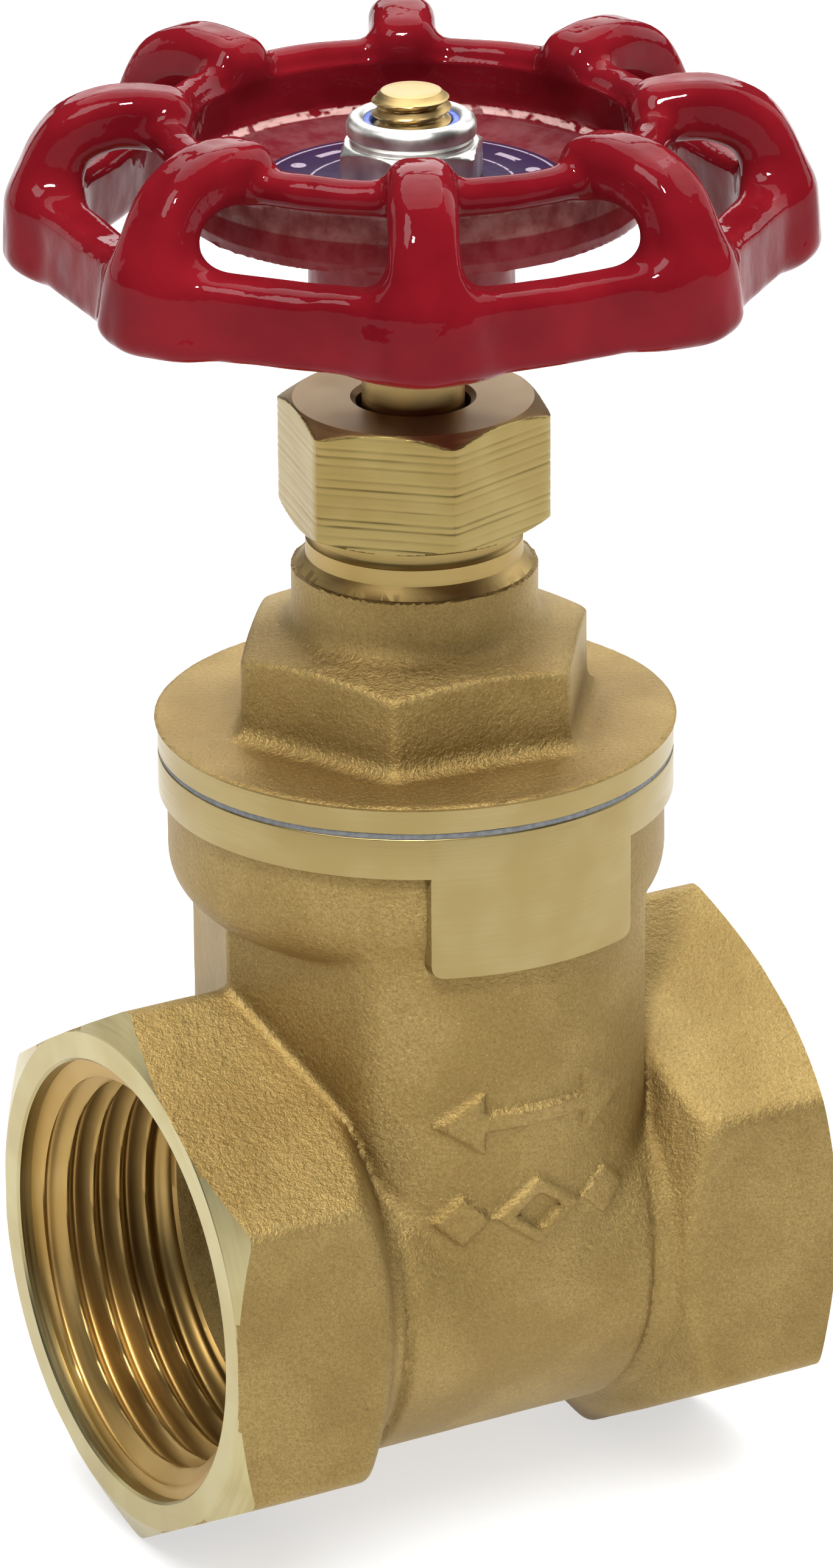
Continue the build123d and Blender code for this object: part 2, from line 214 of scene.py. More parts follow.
def rounded_box(u, v, half_u, half_v, r):
    """Distance to a rectangle with rounded corners, from its centre."""
    du, dv = np.abs(u) - (half_u - r), np.abs(v) - (half_v - r)
    return np.hypot(np.maximum(du, 0), np.maximum(dv, 0)) + np.minimum(np.maximum(du, dv), 0) - r


def segment_distance(u, v, start, end):
    """Distance to a line segment, and the share of the way along it of the nearest point."""
    du, dv = end[0] - start[0], end[1] - start[1]
    t = np.clip(((u - start[0]) * du + (v - start[1]) * dv) / (du * du + dv * dv), 0, 1)
    return np.hypot(u - start[0] - t * du, v - start[1] - t * dv), t


def hexagon_field(u, v, apothem, k):
    """Distance to a hexagon with flats across u, its six corners rounded over a width k."""
    u, v = np.abs(u), np.abs(v)
    slant, back = 0.5 * u + HEX_FLAT * v, -0.5 * u + HEX_FLAT * v
    return smooth_max(smooth_max(u, slant, k), back, k) - apothem


def lumps(points, size, seed):
    """Smooth noise between -1 and 1 with features about this many millimetres across."""
    lattice = np.random.default_rng(seed).uniform(-1, 1, (64, 64, 64))
    p = points / size + 500.0
    cell = np.floor(p).astype(int)
    t = p - cell
    t = t * t * (3 - 2 * t)
    total = np.zeros(len(points))
    for corner in np.ndindex(2, 2, 2):
        weight = np.prod([t[:, i] if c else 1 - t[:, i] for i, c in enumerate(corner)], axis=0)
        i, j, k = ((cell + corner) % 64).T
        total += weight * lattice[i, j, k]
    return total


# ---- meshes -----------------------------------------------------------------------------------
def new_piece(name, points, faces):
    """Closed mesh from points in millimetres, its faces turned outwards."""
    mesh = bpy.data.meshes.new(name)
    mesh.from_pydata((np.asarray(points, float) * MM).tolist(), [], faces)
    piece = bpy.data.objects.new(name, mesh)
    bpy.context.scene.collection.objects.link(piece)
    mesh.calc_loop_triangles()
    corners = np.array([t.vertices[:] for t in mesh.loop_triangles])
    co = np.asarray(points, float)[corners]
    if np.einsum("ij,ij->i", co[:, 0], np.cross(co[:, 1], co[:, 2])).sum() < 0:
        mesh.flip_normals()
    return piece


def field_piece(name, field, low, high, cell, roughness=()):
    """Piece on the surface where a field is zero. Each (size, height, seed) adds cast unevenness."""
    low = np.array(low, float)
    axes = [np.arange(a, b + cell, cell, dtype=np.float32) for a, b in zip(low, high)]
    grid = openvdb.FloatGrid()
    grid.background = 10.0
    grid.copyFromArray(np.ascontiguousarray(field(*np.meshgrid(*axes, indexing="ij")), dtype=np.float32))
    points, faces = grid.convertToQuads(0.0)
    points = low + points.astype(float) * cell
    step = cell * 0.15
    for _ in range(2):
        value, slope = field(*points.T), []
        for axis in range(3):
            ahead, behind = points.copy(), points.copy()
            ahead[:, axis] += step
            behind[:, axis] -= step
            slope.append((field(*ahead.T) - field(*behind.T)) / (2 * step))
        slope = np.stack(slope, 1)
        length = np.maximum((slope ** 2).sum(1), 0.2)
        points -= slope * np.clip(value / length, -cell, cell)[:, None]
    normal = slope / np.sqrt(np.maximum((slope ** 2).sum(1), 1e-6))[:, None]
    for size, height, seed in roughness:
        points += normal * (height * lumps(points, size, seed) - height)[:, None]
    return new_piece(name, points, faces.tolist())


def skin(name, rings, ring_shaped=False):
    """Piece over rings of points. Its ends are capped, or joined to each other if it is a ring."""
    rings = np.asarray(rings, float)
    rows, columns = rings.shape[:2]
    index = np.arange(rows * columns).reshape(rows, columns)
    beside = np.roll(index, -1, 1)
    quads = np.stack([index, beside, np.roll(beside, -1, 0), np.roll(index, -1, 0)], -1)
    faces = quads[:rows if ring_shaped else rows - 1].reshape(-1, 4).tolist()
    if not ring_shaped:
        faces += [index[0][::-1].tolist(), index[-1].tolist()]
    return new_piece(name, rings.reshape(-1, 3), faces)


def softened(outline, r, steps=3):
    """Closed outline of (u, v) points with its corners rounded to about radius r."""
    points = np.array(outline, float)
    made = []
    for before, here, after in zip(np.roll(points, 1, 0), points, np.roll(points, -1, 0)):
        to_before, to_after = before - here, after - here
        reach = min(r, 0.45 * np.linalg.norm(to_before), 0.45 * np.linalg.norm(to_after))
        start = here + to_before / np.linalg.norm(to_before) * reach
        end = here + to_after / np.linalg.norm(to_after) * reach
        for t in np.linspace(0, 1, steps + 1):
            made.append(start * (1 - t) ** 2 + here * 2 * t * (1 - t) + end * t ** 2)
    return np.array(made)


def turned(name, outline, columns=96, r=0.12, steps=3, on_pipe=False):
    """Ring turned from an outline of (radius, height) points, about the stem axis or the pipe axis."""
    profile = softened(outline, r, steps) if r else np.array(outline, float)
    angle = np.arange(columns) * TAU / columns
    radius, height = profile[:, :1], np.repeat(profile[:, 1:], columns, 1)
    across, up = radius * np.cos(angle), radius * np.sin(angle)
    rings = np.stack([height, across, up] if on_pipe else [across, up, height], -1)
    return skin(name, rings, ring_shaped=True)


def turned_solid(name, outline, columns=96, on_pipe=False):
    """Solid turned from an open outline of (radius, height) points."""
    profile = np.array(outline, float)
    angle = np.arange(columns) * TAU / columns
    radius, height = profile[:, :1], np.repeat(profile[:, 1:], columns, 1)
    across, up = radius * np.cos(angle), radius * np.sin(angle)
    return skin(name, np.stack([height, across, up] if on_pipe else [across, up, height], -1))


def prism(name, outline, start, end, axis=2):
    """Prism over a closed outline. Axis 2 stands on the XY plane and axis 1 lies along Y over XZ."""
    outline = np.array(outline, float)
    rings = []
    for level in (start, end):
        ring = np.full((len(outline), 3), float(level))
        ring[:, [i for i in range(3) if i != axis]] = outline
        rings.append(ring)
    return skin(name, rings)


def rectangle(half_u, half_v, r=0.0, centre=(0, 0), steps=6):
    corners = [(half_u, half_v), (-half_u, half_v), (-half_u, -half_v), (half_u, -half_v)]
    outline = np.array(corners, float) + centre
    return softened(outline, r, steps) if r else outline


def combine(piece, other, operation="DIFFERENCE"):
    """Applies a boolean to a piece and removes the tool."""
    modifier = piece.modifiers.new("tool", "BOOLEAN")
    modifier.object, modifier.operation, modifier.solver = other, operation, "MANIFOLD"
    graph = bpy.context.evaluated_depsgraph_get()
    made = bpy.data.meshes.new_from_object(piece.evaluated_get(graph))
    piece.modifiers.clear()
    old, piece.data = piece.data, made
    made.name = piece.name
    bpy.data.meshes.remove(old)
    bpy.data.objects.remove(other)
    return piece


def face_centres(piece):
    co = np.zeros(len(piece.data.polygons) * 3)
    piece.data.polygons.foreach_get("center", co)
    return co.reshape(-1, 3).T / MM


def shade(piece, materials, pick=None, sharp=38, flat=None):
    """Smooth shading up to an angle, and materials. pick gives each face's material number, and flat
    says which faces are shaded flat."""
    mesh = piece.data
    mesh.materials.clear()
    for material in materials:
        mesh.materials.append(material)
    numbers = np.zeros(len(mesh.polygons), np.int32)
    if pick is not None:
        numbers[:] = pick(*face_centres(piece))
    mesh.polygons.foreach_set("material_index", numbers)
    mesh.polygons.foreach_set("use_smooth", np.ones(len(mesh.polygons), bool))
    mesh.set_sharp_from_angle(angle=math.radians(sharp))
    if flat is not None:
        mesh.polygons.foreach_set("use_smooth", ~flat(*face_centres(piece)))
    mesh.update()
    return piece


def place(piece, body, slot, *nodes):
    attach(piece, body)
    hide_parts(*nodes)


# ---- materials ----------------------------------------------------------------------------------
def set_range(node, low, high, out_low, out_high):
    """Limits of a Map Range node."""
    for key, number in (("From Min", low), ("From Max", high), ("To Min", out_low), ("To Max", out_high)):
        node.inputs[key].default_value = number


class Paint:
    """Short way to write a node material. Coordinates are in millimetres in the frame of the CAD."""

    def __init__(self, name):
        self.material = bpy.data.materials.new(name)
        self.material.use_nodes = True
        self.tree = self.material.node_tree
        self.shader = self.tree.nodes["Principled BSDF"]
        self.coordinates = self.add("ShaderNodeMapping")
        self.coordinates.inputs["Scale"].default_value = (1 / MM,) * 3
        self.join(self.add("ShaderNodeTexCoord").outputs["Object"], self.coordinates.inputs["Vector"])

    def add(self, kind, **settings):
        node = self.tree.nodes.new(kind)
        for key, value in settings.items():
            setattr(node, key, value)
        return node

    def join(self, source, target):
        self.tree.links.new(source, target)

    def feed(self, target, value):
        if isinstance(value, bpy.types.NodeSocket):
            self.join(value, target)
        else:
            target.default_value = value

    def set(self, **values):
        for key, value in values.items():
            self.feed(self.shader.inputs[key.replace("_", " ")], value)

    def stretched(self, x=1.0, y=1.0, z=1.0):
        node = self.add("ShaderNodeMapping")
        node.inputs["Scale"].default_value = (x, y, z)
        self.join(self.coordinates.outputs[0], node.inputs["Vector"])
        return node.outputs[0]

    def noise(self, size, detail=2.0, rough=0.5, at=None):
        """Noise from 0 to 1 with features about this many millimetres across."""
        node = self.add("ShaderNodeTexNoise")
        self.join(at or self.coordinates.outputs[0], node.inputs["Vector"])
        node.inputs["Scale"].default_value = 1.0 / size
        node.inputs["Detail"].default_value = detail
        node.inputs["Roughness"].default_value = rough
        return node.outputs["Fac"]

    def cells(self, size):
        """Distance from the middle of the nearest of many cells about this many millimetres across."""
        node = self.add("ShaderNodeTexVoronoi")
        self.join(self.coordinates.outputs[0], node.inputs["Vector"])
        node.inputs["Scale"].default_value = 1.0 / size
        return node.outputs["Distance"]

    def ramp(self, value, low, high, out_low=0.0, out_high=1.0):
        node = self.add("ShaderNodeMapRange", interpolation_type="SMOOTHSTEP")
        self.feed(node.inputs["Value"], value)
        set_range(node, low, high, out_low, out_high)
        return node.outputs["Result"]

    def math(self, operation, a, b=0.0, c=0.0):
        node = self.add("ShaderNodeMath", operation=operation)
        for socket, value in zip(node.inputs, (a, b, c)):
            self.feed(socket, value)
        return node.outputs[0]

    def times(self, a, b):
        return self.math("MULTIPLY", a, b)

    def off(self, value, middle):
        """How far a value is from a number."""
        return self.math("ABSOLUTE", self.math("SUBTRACT", value, middle))

    def length(self, u, v):
        return self.math("SQRT", self.math("ADD", self.times(u, u), self.times(v, v)))

    def mix(self, share, a, b):
        node = self.add("ShaderNodeMix", data_type="RGBA")
        for socket, value in ((node.inputs[0], share), (node.inputs[6], a), (node.inputs[7], b)):
            self.feed(socket, value)
        return node.outputs[2]

    def hollows(self, reach):
        """How open the surface is, from 0 in a deep corner to 1, within this many millimetres."""
        node = self.add("ShaderNodeAmbientOcclusion", samples=6)
        node.inputs["Distance"].default_value = reach * MM
        return node.outputs["AO"]

    def bump(self, height, distance, strength=1.0, over=None):
        """Bump of a height from 0 to 1 that stands this many millimetres tall."""
        node = self.add("ShaderNodeBump")
        node.inputs["Distance"].default_value = distance * MM
        node.inputs["Strength"].default_value = strength
        self.join(height, node.inputs["Height"])
        if over is not None:
            self.join(over, node.inputs["Normal"])
        return node.outputs[0]

    def radius(self):
        """Distance from the stem axis, in millimetres."""
        split = self.add("ShaderNodeSeparateXYZ")
        self.join(self.coordinates.outputs[0], split.inputs[0])
        self.x, self.y, self.z = split.outputs
        return self.length(self.x, self.y)


def colour(r, g, b):
    return (r, g, b, 1.0)


def cast_brass():
    """Shot-blasted casting: fine sandy grain, cloudy tone, dark specks, bright specks painted in as glints,
    and painted shade in the hollows.
    """
    p = Paint("cast_brass")
    cloud = p.noise(9.0, 3.0)
    fine = p.noise(0.24, 4.0, 0.8)
    tone = p.mix(p.ramp(cloud, 0.35, 0.68), colour(0.312, 0.219, 0.078), colour(0.397, 0.290, 0.112))
    tone = p.mix(p.ramp(fine, 0.34, 0.64, 0.65, 0.0), tone, colour(0.20, 0.125, 0.038))
    specks = p.times(p.ramp(p.cells(1.9), 0.10, 0.05), p.ramp(p.noise(5.0), 0.52, 0.60))
    tone = p.mix(p.times(specks, 0.5), tone, colour(0.16, 0.11, 0.06))
    # Painted highlight: bright glints scattered over the grain stand in for light catching the blasted
    # surface.
    painted_glint = p.times(p.ramp(p.cells(0.42), 0.20, 0.08), p.ramp(p.noise(0.9, 2.0), 0.44, 0.60))
    tone = p.mix(p.times(painted_glint, 0.35), tone, colour(0.62, 0.48, 0.22))
    # Second layer of painted glints: pale flecks on the fine grain, a painted highlight.
    tone = p.mix(p.ramp(fine, 0.60, 0.80, 0.0, 0.5), tone, colour(0.60, 0.46, 0.20))
    # Painted shade: darker brown where the surface is closed in, in corners and hollows.
    tone = p.mix(p.ramp(p.hollows(4.5), 0.86, 0.40, 0.0, 0.85), tone, colour(0.15, 0.088, 0.028))
    p.set(Base_Color=tone, Metallic=1.0, Roughness=p.ramp(fine, 0.3, 0.75, 0.46, 0.58))
    grain = p.bump(p.noise(0.42, 4.0, 0.72), 0.19, 1.0)
    p.set(Normal=p.bump(p.noise(2.4, 2.0), 0.18, 0.6, over=grain))
    return p.material


def turned_brass(name, axis, base=(0.32, 0.252, 0.112), rough=0.32, line=0.22, depth=0.012):
    """Machined brass with fine lines left by the tool around one axis."""
    p = Paint(name)
    stretch = {"x": (1.0, 0.02, 0.02), "z": (0.02, 0.02, 1.0)}[axis]
    lines = p.noise(line, 3.0, 0.7, at=p.stretched(*stretch))
    cloud = p.noise(6.0, 2.0)
    low = colour(*(c * f for c, f in zip(base, (0.90, 0.86, 0.78))))
    tone = p.mix(p.ramp(cloud, 0.35, 0.65), low, colour(*base))
    tone = p.mix(p.ramp(lines, 0.35, 0.60, 0.25, 0.0), tone, colour(0.24, 0.17, 0.07))
    p.set(Base_Color=tone, Metallic=1.0, Roughness=p.ramp(lines, 0.3, 0.7, rough - 0.04, rough + 0.06))
    p.set(Normal=p.bump(lines, depth, 0.8))
    return p.material


def enamel():
    """Thick gloss enamel over an iron casting, dull and dusty on the outer wall of the bowl, whose upper part
    is paler as a painted reflection of the floor.
    """
    p = Paint("red_enamel")
    radius = p.radius()
    cloud = p.noise(7.0, 3.0)
    tone = p.mix(p.ramp(cloud, 0.3, 0.7), colour(0.122, 0.0040, 0.0075), colour(0.168, 0.0062, 0.0110))
    dust = p.ramp(p.noise(1.8, 4.0, 0.6), 0.25, 0.75)
    bowl = p.times(p.ramp(radius, BOWL_OUTER_R + 0.35, BOWL_OUTER_R + 0.05), p.ramp(p.z, 87.9, 87.5))
    under = p.math("MAXIMUM", p.ramp(radius, 16.55, 16.75), p.ramp(p.z, 82.9, 82.6))
    outside = p.times(bowl, under)
    # Upper part of the outer wall, under the ring, which gets the painted reflection.
    skirt = p.times(outside, p.ramp(p.z, FLASH_Z, FLASH_Z + 0.2))
    low = p.mix(dust, colour(0.15, 0.012, 0.015), colour(0.20, 0.035, 0.04))
    # Pale dusty tone: painted reflection of the white floor, mottled with dust.
    high = p.mix(dust, colour(0.17, 0.035, 0.035), colour(0.29, 0.12, 0.11))
    dust_and_floor_reflection = p.mix(skirt, low, high)
    beside, above = p.off(radius, FLASH_R), p.off(p.z, FLASH_Z + 0.07)
    flash = p.times(p.ramp(beside, 0.32, 0.22), p.ramp(above, 0.30, 0.18))
    flash = p.times(flash, p.ramp(p.noise(1.4, 2.0), 0.36, 0.46))
    plate = p.times(p.ramp(radius, 16.4, 15.9), p.ramp(p.z, 84.9, 84.6))
    faded = p.mix(dust, colour(0.10, 0.015, 0.020), colour(0.16, 0.065, 0.070))
    tone = p.mix(p.times(plate, 0.65), tone, faded)
    tone = p.mix(outside, tone, dust_and_floor_reflection)
    tone = p.mix(flash, tone, colour(0.60, 0.36, 0.33))
    rough = p.ramp(p.noise(2.2, 2.0), 0.3, 0.7, 0.30, 0.42)
    p.set(Base_Color=tone, Roughness=rough, Specular_IOR_Level=0.0)
    p.set(Coat_Weight=0.6, Coat_Roughness=0.04, Coat_IOR=1.24)
    peel = p.bump(p.noise(1.5, 2.0, 0.5), 0.10, 0.5)
    sag = p.bump(p.noise(4.5, 1.0), 0.6, 0.6, over=peel)
    p.set(Normal=sag, Coat_Normal=sag)
    return p.material


def zinc():
    p = Paint("zinc")
    cloud = p.noise(2.2, 3.0)
    tone = p.mix(p.ramp(cloud, 0.35, 0.65), colour(0.60, 0.60, 0.57), colour(0.74, 0.74, 0.70))
    lines = p.noise(0.16, 2.0, 0.6, at=p.stretched(0.05, 0.05, 1.0))
    p.set(Base_Color=tone, Metallic=1.0, Roughness=p.ramp(cloud, 0.3, 0.7, 0.32, 0.46))
    p.set(Normal=p.bump(lines, 0.006, 0.6))
    return p.material


def nylon():
    p = Paint("blue_nylon")
    tone = p.mix(p.noise(0.8, 2.0), colour(0.012, 0.05, 0.33), colour(0.03, 0.09, 0.48))
    p.set(Base_Color=tone, Roughness=p.ramp(p.noise(0.5), 0.3, 0.7, 0.32, 0.5), Subsurface_Weight=0.1)
    p.set(Normal=p.bump(p.noise(0.35, 2.0), 0.015, 0.6))
    return p.material


def printed_disc():
    """Blue-violet printed disc with a ring of pale dots and dashes near its edge."""
    p = Paint("printed_disc")
    radius = p.radius()
    angle = p.math("ARCTAN2", p.y, p.x)
    share = p.math("FRACT", p.times(angle, MARKS / TAU))
    turn = p.times(p.math("SUBTRACT", share, 0.5), TAU * MARK_R / MARKS)
    out = p.math("SUBTRACT", radius, MARK_R)
    dot = p.ramp(p.length(turn, out), 0.62, 0.54)
    bar = p.times(p.ramp(p.math("ABSOLUTE", turn), 1.25, 1.17), p.ramp(p.math("ABSOLUTE", out), 0.36, 0.28))
    odd = p.math("GREATER_THAN", p.math("FRACT", p.times(angle, MARKS / 2 / TAU)), 0.5)
    marks = p.math("ADD", p.times(dot, odd), p.times(bar, p.math("SUBTRACT", 1.0, odd)))
    rings = [p.times(p.ramp(radius, r, r + 0.06), p.ramp(radius, r + 0.26, r + 0.20)) for r in (11.0, 7.6)]
    ink = p.math("MAXIMUM", marks, p.math("MAXIMUM", *rings))
    worn = p.times(ink, p.ramp(p.noise(0.5, 3.0), 0.30, 0.42))
    ground = p.mix(p.noise(3.0, 2.0), colour(0.012, 0.0035, 0.025), colour(0.022, 0.007, 0.042))
    p.set(Base_Color=p.mix(worn, ground, colour(0.31, 0.25, 0.31)))
    p.set(Roughness=p.ramp(p.noise(1.2), 0.3, 0.7, 0.40, 0.52), Specular_IOR_Level=0.1)
    p.set(Normal=p.bump(worn, 0.02, 0.6))
    return p.material


def dull(name, low, high, size, rough, height):
    """Matt non-metal with mottled colour and a fine grain."""
    p = Paint(name)
    grain = p.noise(size, 3.0, 0.6)
    p.set(Base_Color=p.mix(p.ramp(grain, 0.3, 0.7), colour(*low), colour(*high)))
    p.set(Roughness=p.ramp(grain, 0.3, 0.7, rough - 0.06, rough + 0.08), Normal=p.bump(grain, height, 0.7))
    return p.material


CAST = cast_brass()
RED = enamel()
LATHE_PIPE = turned_brass("turned_brass_pipe", "x", base=(0.42, 0.365, 0.19))
LATHE_STEM = turned_brass("turned_brass_stem", "z")
THREAD = turned_brass("thread_brass", "x", base=(0.42, 0.28, 0.098), rough=0.42, line=0.5)
SPUN = turned_brass("stem_brass", "z", base=(0.46, 0.33, 0.14), rough=0.38, line=0.12, depth=0.006)
NECK = turned_brass("neck_brass", "z", base=(0.40, 0.29, 0.11), rough=0.46, line=0.12, depth=0.01)
FACED = turned_brass("hex_brass", "z", base=(0.30, 0.23, 0.085), rough=0.36, line=0.16)
CHAMFER = turned_brass("chamfer_brass", "z", base=(0.30, 0.205, 0.095), rough=0.42, line=0.3)
GREY = dull("grey_fibre", (0.10, 0.105, 0.11), (0.17, 0.175, 0.18), 0.5, 0.7, 0.03)
WHITE = dull("white_ptfe", (0.78, 0.78, 0.76), (0.88, 0.88, 0.86), 0.8, 0.45, 0.01)
GRAPHITE = dull("graphite_braid", (0.015, 0.015, 0.017), (0.05, 0.05, 0.055), 0.4, 0.6, 0.06)


# ---- valve body ---------------------------------------------------------------------------------
def motif(x, z):
    """Flat shapes cast on the barrel: a double-headed flow arrow above a row of lozenges."""
    high, low = z - ARROW_Z, z - LOZENGES_Z
    bar = rounded_box(x, high, 5.0, 0.75, 0.3)
    head = ((np.abs(x) - 8.2) * 2.7 + np.abs(high) * 3.8) / math.hypot(2.7, 3.8)
    arrow = np.minimum(bar, smooth_max(head, 4.4 - np.abs(x), 0.3))
    hollow = np.abs((np.abs(x) * 0.75 + np.abs(low)) / 1.25 - 1.75) - 0.55
    lozenge = (np.abs(np.abs(x) - 6.2) * 0.95 + np.abs(low)) / 1.38 - 1.55
    return np.minimum(arrow, np.minimum(lozenge, hollow))


def body_field(x, y, z):
    """The rough casting, before anything is machined."""
    ax, ay = np.abs(x), np.abs(y)
    pipe_r = np.hypot(y, z)
    ends = hexagon_field(y, z, HEX_CORNER_R * math.cos(math.pi / 6) + 0.06, 0.9)
    (x0, r0), (x1, r1) = HEX_BACK
    slant = math.hypot(x1 - x0, r1 - r0)
    back = ((ax - x0) * (r0 - r1) + (pipe_r - r0) * (x1 - x0)) / slant
    ends = smooth_max(ends, back, 0.8)
    waist = (np.sqrt((y / WAIST_HALF_Y) ** 2 + (z / WAIST_R) ** 2) - 1) * WAIST_R
    waist = smooth_max(waist, ax - WAIST_HALF_X, 0.5)
    crease = np.exp(-((ax - COLLAR_LINE_X) / COLLAR_LINE_WIDTH) ** 2)
    waist = waist + COLLAR_LINE * crease * np.clip(1 - z / COLLAR_LINE_TOP, 0, 1)
    pipe = np.maximum(smooth_min(ends, waist, 0.6), ax - HALF - 0.6)
    cos, sin = math.cos(CREASE_ANGLE), math.sin(CREASE_ANGLE)
    flat = smooth_max(cos * (ax - BARREL_HALF_X) + sin * y, cos * (ax - BARREL_HALF_X) - sin * y, 0.3)
    rho = np.hypot(x, y)
    barrel = smooth_max(smooth_max(flat, rho - BARREL_HALF_Y, 0.7), np.maximum(-z, z - 33.0), 1.0)
    foot_centre = CAST_FLANGE_R - FLANGE_FOOT_R
    flange = np.hypot(np.maximum(rho - foot_centre, 0), np.maximum(FLANGE_FOOT_TOP - z, 0)) - FLANGE_FOOT_R
    flange = smooth_max(flange, z - BODY_TOP + 0.4, 0.3)
    cast = smooth_min(smooth_min(pipe, barrel, 0.6), flange, 0.35)
    raised = smooth_max(motif(x, z), cast - MOTIF_HEIGHT, 0.4)
    raised = np.maximum(raised, 14.0 - ay)
    return smooth_min(cast, raised, 0.3)


def pipe_ring(radius, x, angle):
    """Ring of points about the pipe axis."""
    return np.stack([np.full(len(angle), x), radius * np.cos(angle), radius * np.sin(angle)], 1)


def port_cutter(side):
    """Bore of one pipe end: counterbore, G1 thread and relief, as one skin about the pipe axis."""
    columns = 160
    angle = np.arange(columns) * TAU / columns
    rows = [(0.0, BORE_R), (10.0, BORE_R), (10.4, 12.7), (10.9, 13.4), (11.6, 14.0), (RELIEF_INNER_X, 14.4),
            (THREAD_INNER_X - 0.3, RELIEF_R)]
    rings = [pipe_ring(r, x, angle) for x, r in rows]
    mouth_x = HALF - MOUTH_DEPTH
    for x in np.arange(THREAD_INNER_X, mouth_x, THREAD_PITCH / 20):
        phase = np.mod((x - THREAD_PITCH * side * angle / TAU) / THREAD_PITCH, 1.0)
        groove = 1 - np.abs(2 * phase - 1)
        groove = smooth_min(smooth_max(groove * 1.3 - 0.14, np.zeros(columns), 0.06), np.ones(columns), 0.14)
        run_in = np.clip((x - THREAD_INNER_X) / THREAD_PITCH, 0, 1)
        radius = THREAD_CREST_R + THREAD_DEPTH * groove * run_in
        radius = np.maximum(radius, MOUTH_R - (mouth_x - x) * 3.0)
        rings.append(pipe_ring(radius, x, angle))
    for x, r in ((mouth_x, MOUTH_R), (HALF - 0.2, MOUTH_R), (HALF, MOUTH_R + 0.2), (HALF + 2, MOUTH_R + 0.2)):
        rings.append(pipe_ring(r, x, angle))
    rings = np.array(rings)
    rings[..., 0] *= side
    return skin("port", rings)


def chamber_cutter():
    """Room for the gate: well, round bottom and neck bore, less the guides and the seat rings."""
    cutter = prism("chamber", rectangle(*CHAMBER_HALF, CHAMBER_CORNER_R), 0.0, NECK_BORE_BOTTOM + 0.5)
    round_end = [(CHAMBER_R, -CHAMBER_ROUND_X), (CHAMBER_R, CHAMBER_ROUND_X)]
    combine(cutter, turned_solid("round", round_end, on_pipe=True), "UNION")
    reach = 16.0
    low, high = SEAT_HALF_GAP - reach * SEAT_SLOPE, SEAT_HALF_GAP + reach * SEAT_SLOPE
    for side in (-1, 1):
        guide = rectangle(GUIDE_HALF_WIDTH, 2.0, centre=(0, side * (GUIDE_TIP_Y + 2)))
        combine(cutter, prism("guide", guide, -15.0, GUIDE_TOP))
        slab = [(side * low, -reach), (side * 12.0, -reach), (side * 12.0, reach), (side * high, reach)]
        seat = turned_solid("seat", [(SEAT_R, side * 5.0), (SEAT_R, side * 12.0)], on_pipe=True)
        combine(seat, prism("slab", slab, -reach, reach, axis=1), "INTERSECT")
        combine(cutter, seat)
    neck = turned_solid("neck", [(NECK_BORE_R, NECK_BORE_BOTTOM), (NECK_BORE_R, 50.0)])
    return combine(cutter, neck, "UNION")


def make_body():
    body = field_piece("valve_body_casting", body_field, (-27.6, -23.4, -23.2), (27.6, 23.4, 39.6), 0.36,
                       roughness=((5.0, 0.035, 3), (1.6, 0.014, 4)))
    chamfered = [(END_FACE_R - 0.1, -HALF), (END_FACE_R, -HALF + 0.06),
                 (HEX_CORNER_R + 0.4, -HALF + END_CHAMFER), (40.0, -HALF + END_CHAMFER + 0.2)]
    chamfered += [(r, -x) for r, x in reversed(chamfered)]
    combine(body, turned_solid("end_tool", chamfered, 360, on_pipe=True), "INTERSECT")
    band = [(10.0, BAND_BOTTOM), (FLANGE_R, BAND_BOTTOM), (FLANGE_R, BODY_TOP), (10.0, BODY_TOP)]
    combine(body, turned("band", band, 256, r=0.1), "UNION")
    drum = [(FLANGE_R, PAD_BOTTOM - 4), (FLANGE_R, BAND_BOTTOM + 1)]
    height = (BAND_BOTTOM + 0.8 - PAD_BOTTOM) / 2
    outline = rectangle(PAD_WIDTH / 2, height, 1.0, centre=(0, PAD_BOTTOM + height))
    for side in (-1, 1):
        pad = prism("pad", outline, side * 12.0, side * 24.0, axis=1)
        combine(pad, turned_solid("drum", drum, 256), "INTERSECT")
        combine(body, pad, "UNION")
        combine(body, port_cutter(side))
    combine(body, chamber_cutter())

    def rough(x, y, z):
        return np.abs(body_field(x, y, z) + BODY_SKIN) < 0.12

    def pick(x, y, z):
        inside = (np.hypot(y, z) < MOUTH_R + 0.1) & (np.abs(x) < HALF - 0.05)
        port = inside & (np.abs(x) > THREAD_INNER_X - 0.2)
        mouth = port & (np.abs(x) > HALF - MOUTH_DEPTH)
        cast = rough(x, y, z) | (inside & (z < NECK_BORE_BOTTOM))
        return np.select([cast & ~port, mouth, port, z > PAD_BOTTOM - 0.2], [0, 1, 3, 2], 1)

    def flat(x, y, z):
        end = (np.abs(x) > HALF - END_CHAMFER - 0.2) & (np.hypot(y, z) > MOUTH_R + 0.3)
        return end & ~rough(x, y, z)

    shade(body, [CAST, LATHE_PIPE, LATHE_STEM, THREAD], pick, flat=flat)
    place(body, "valve_body", "cast_brass", "body")


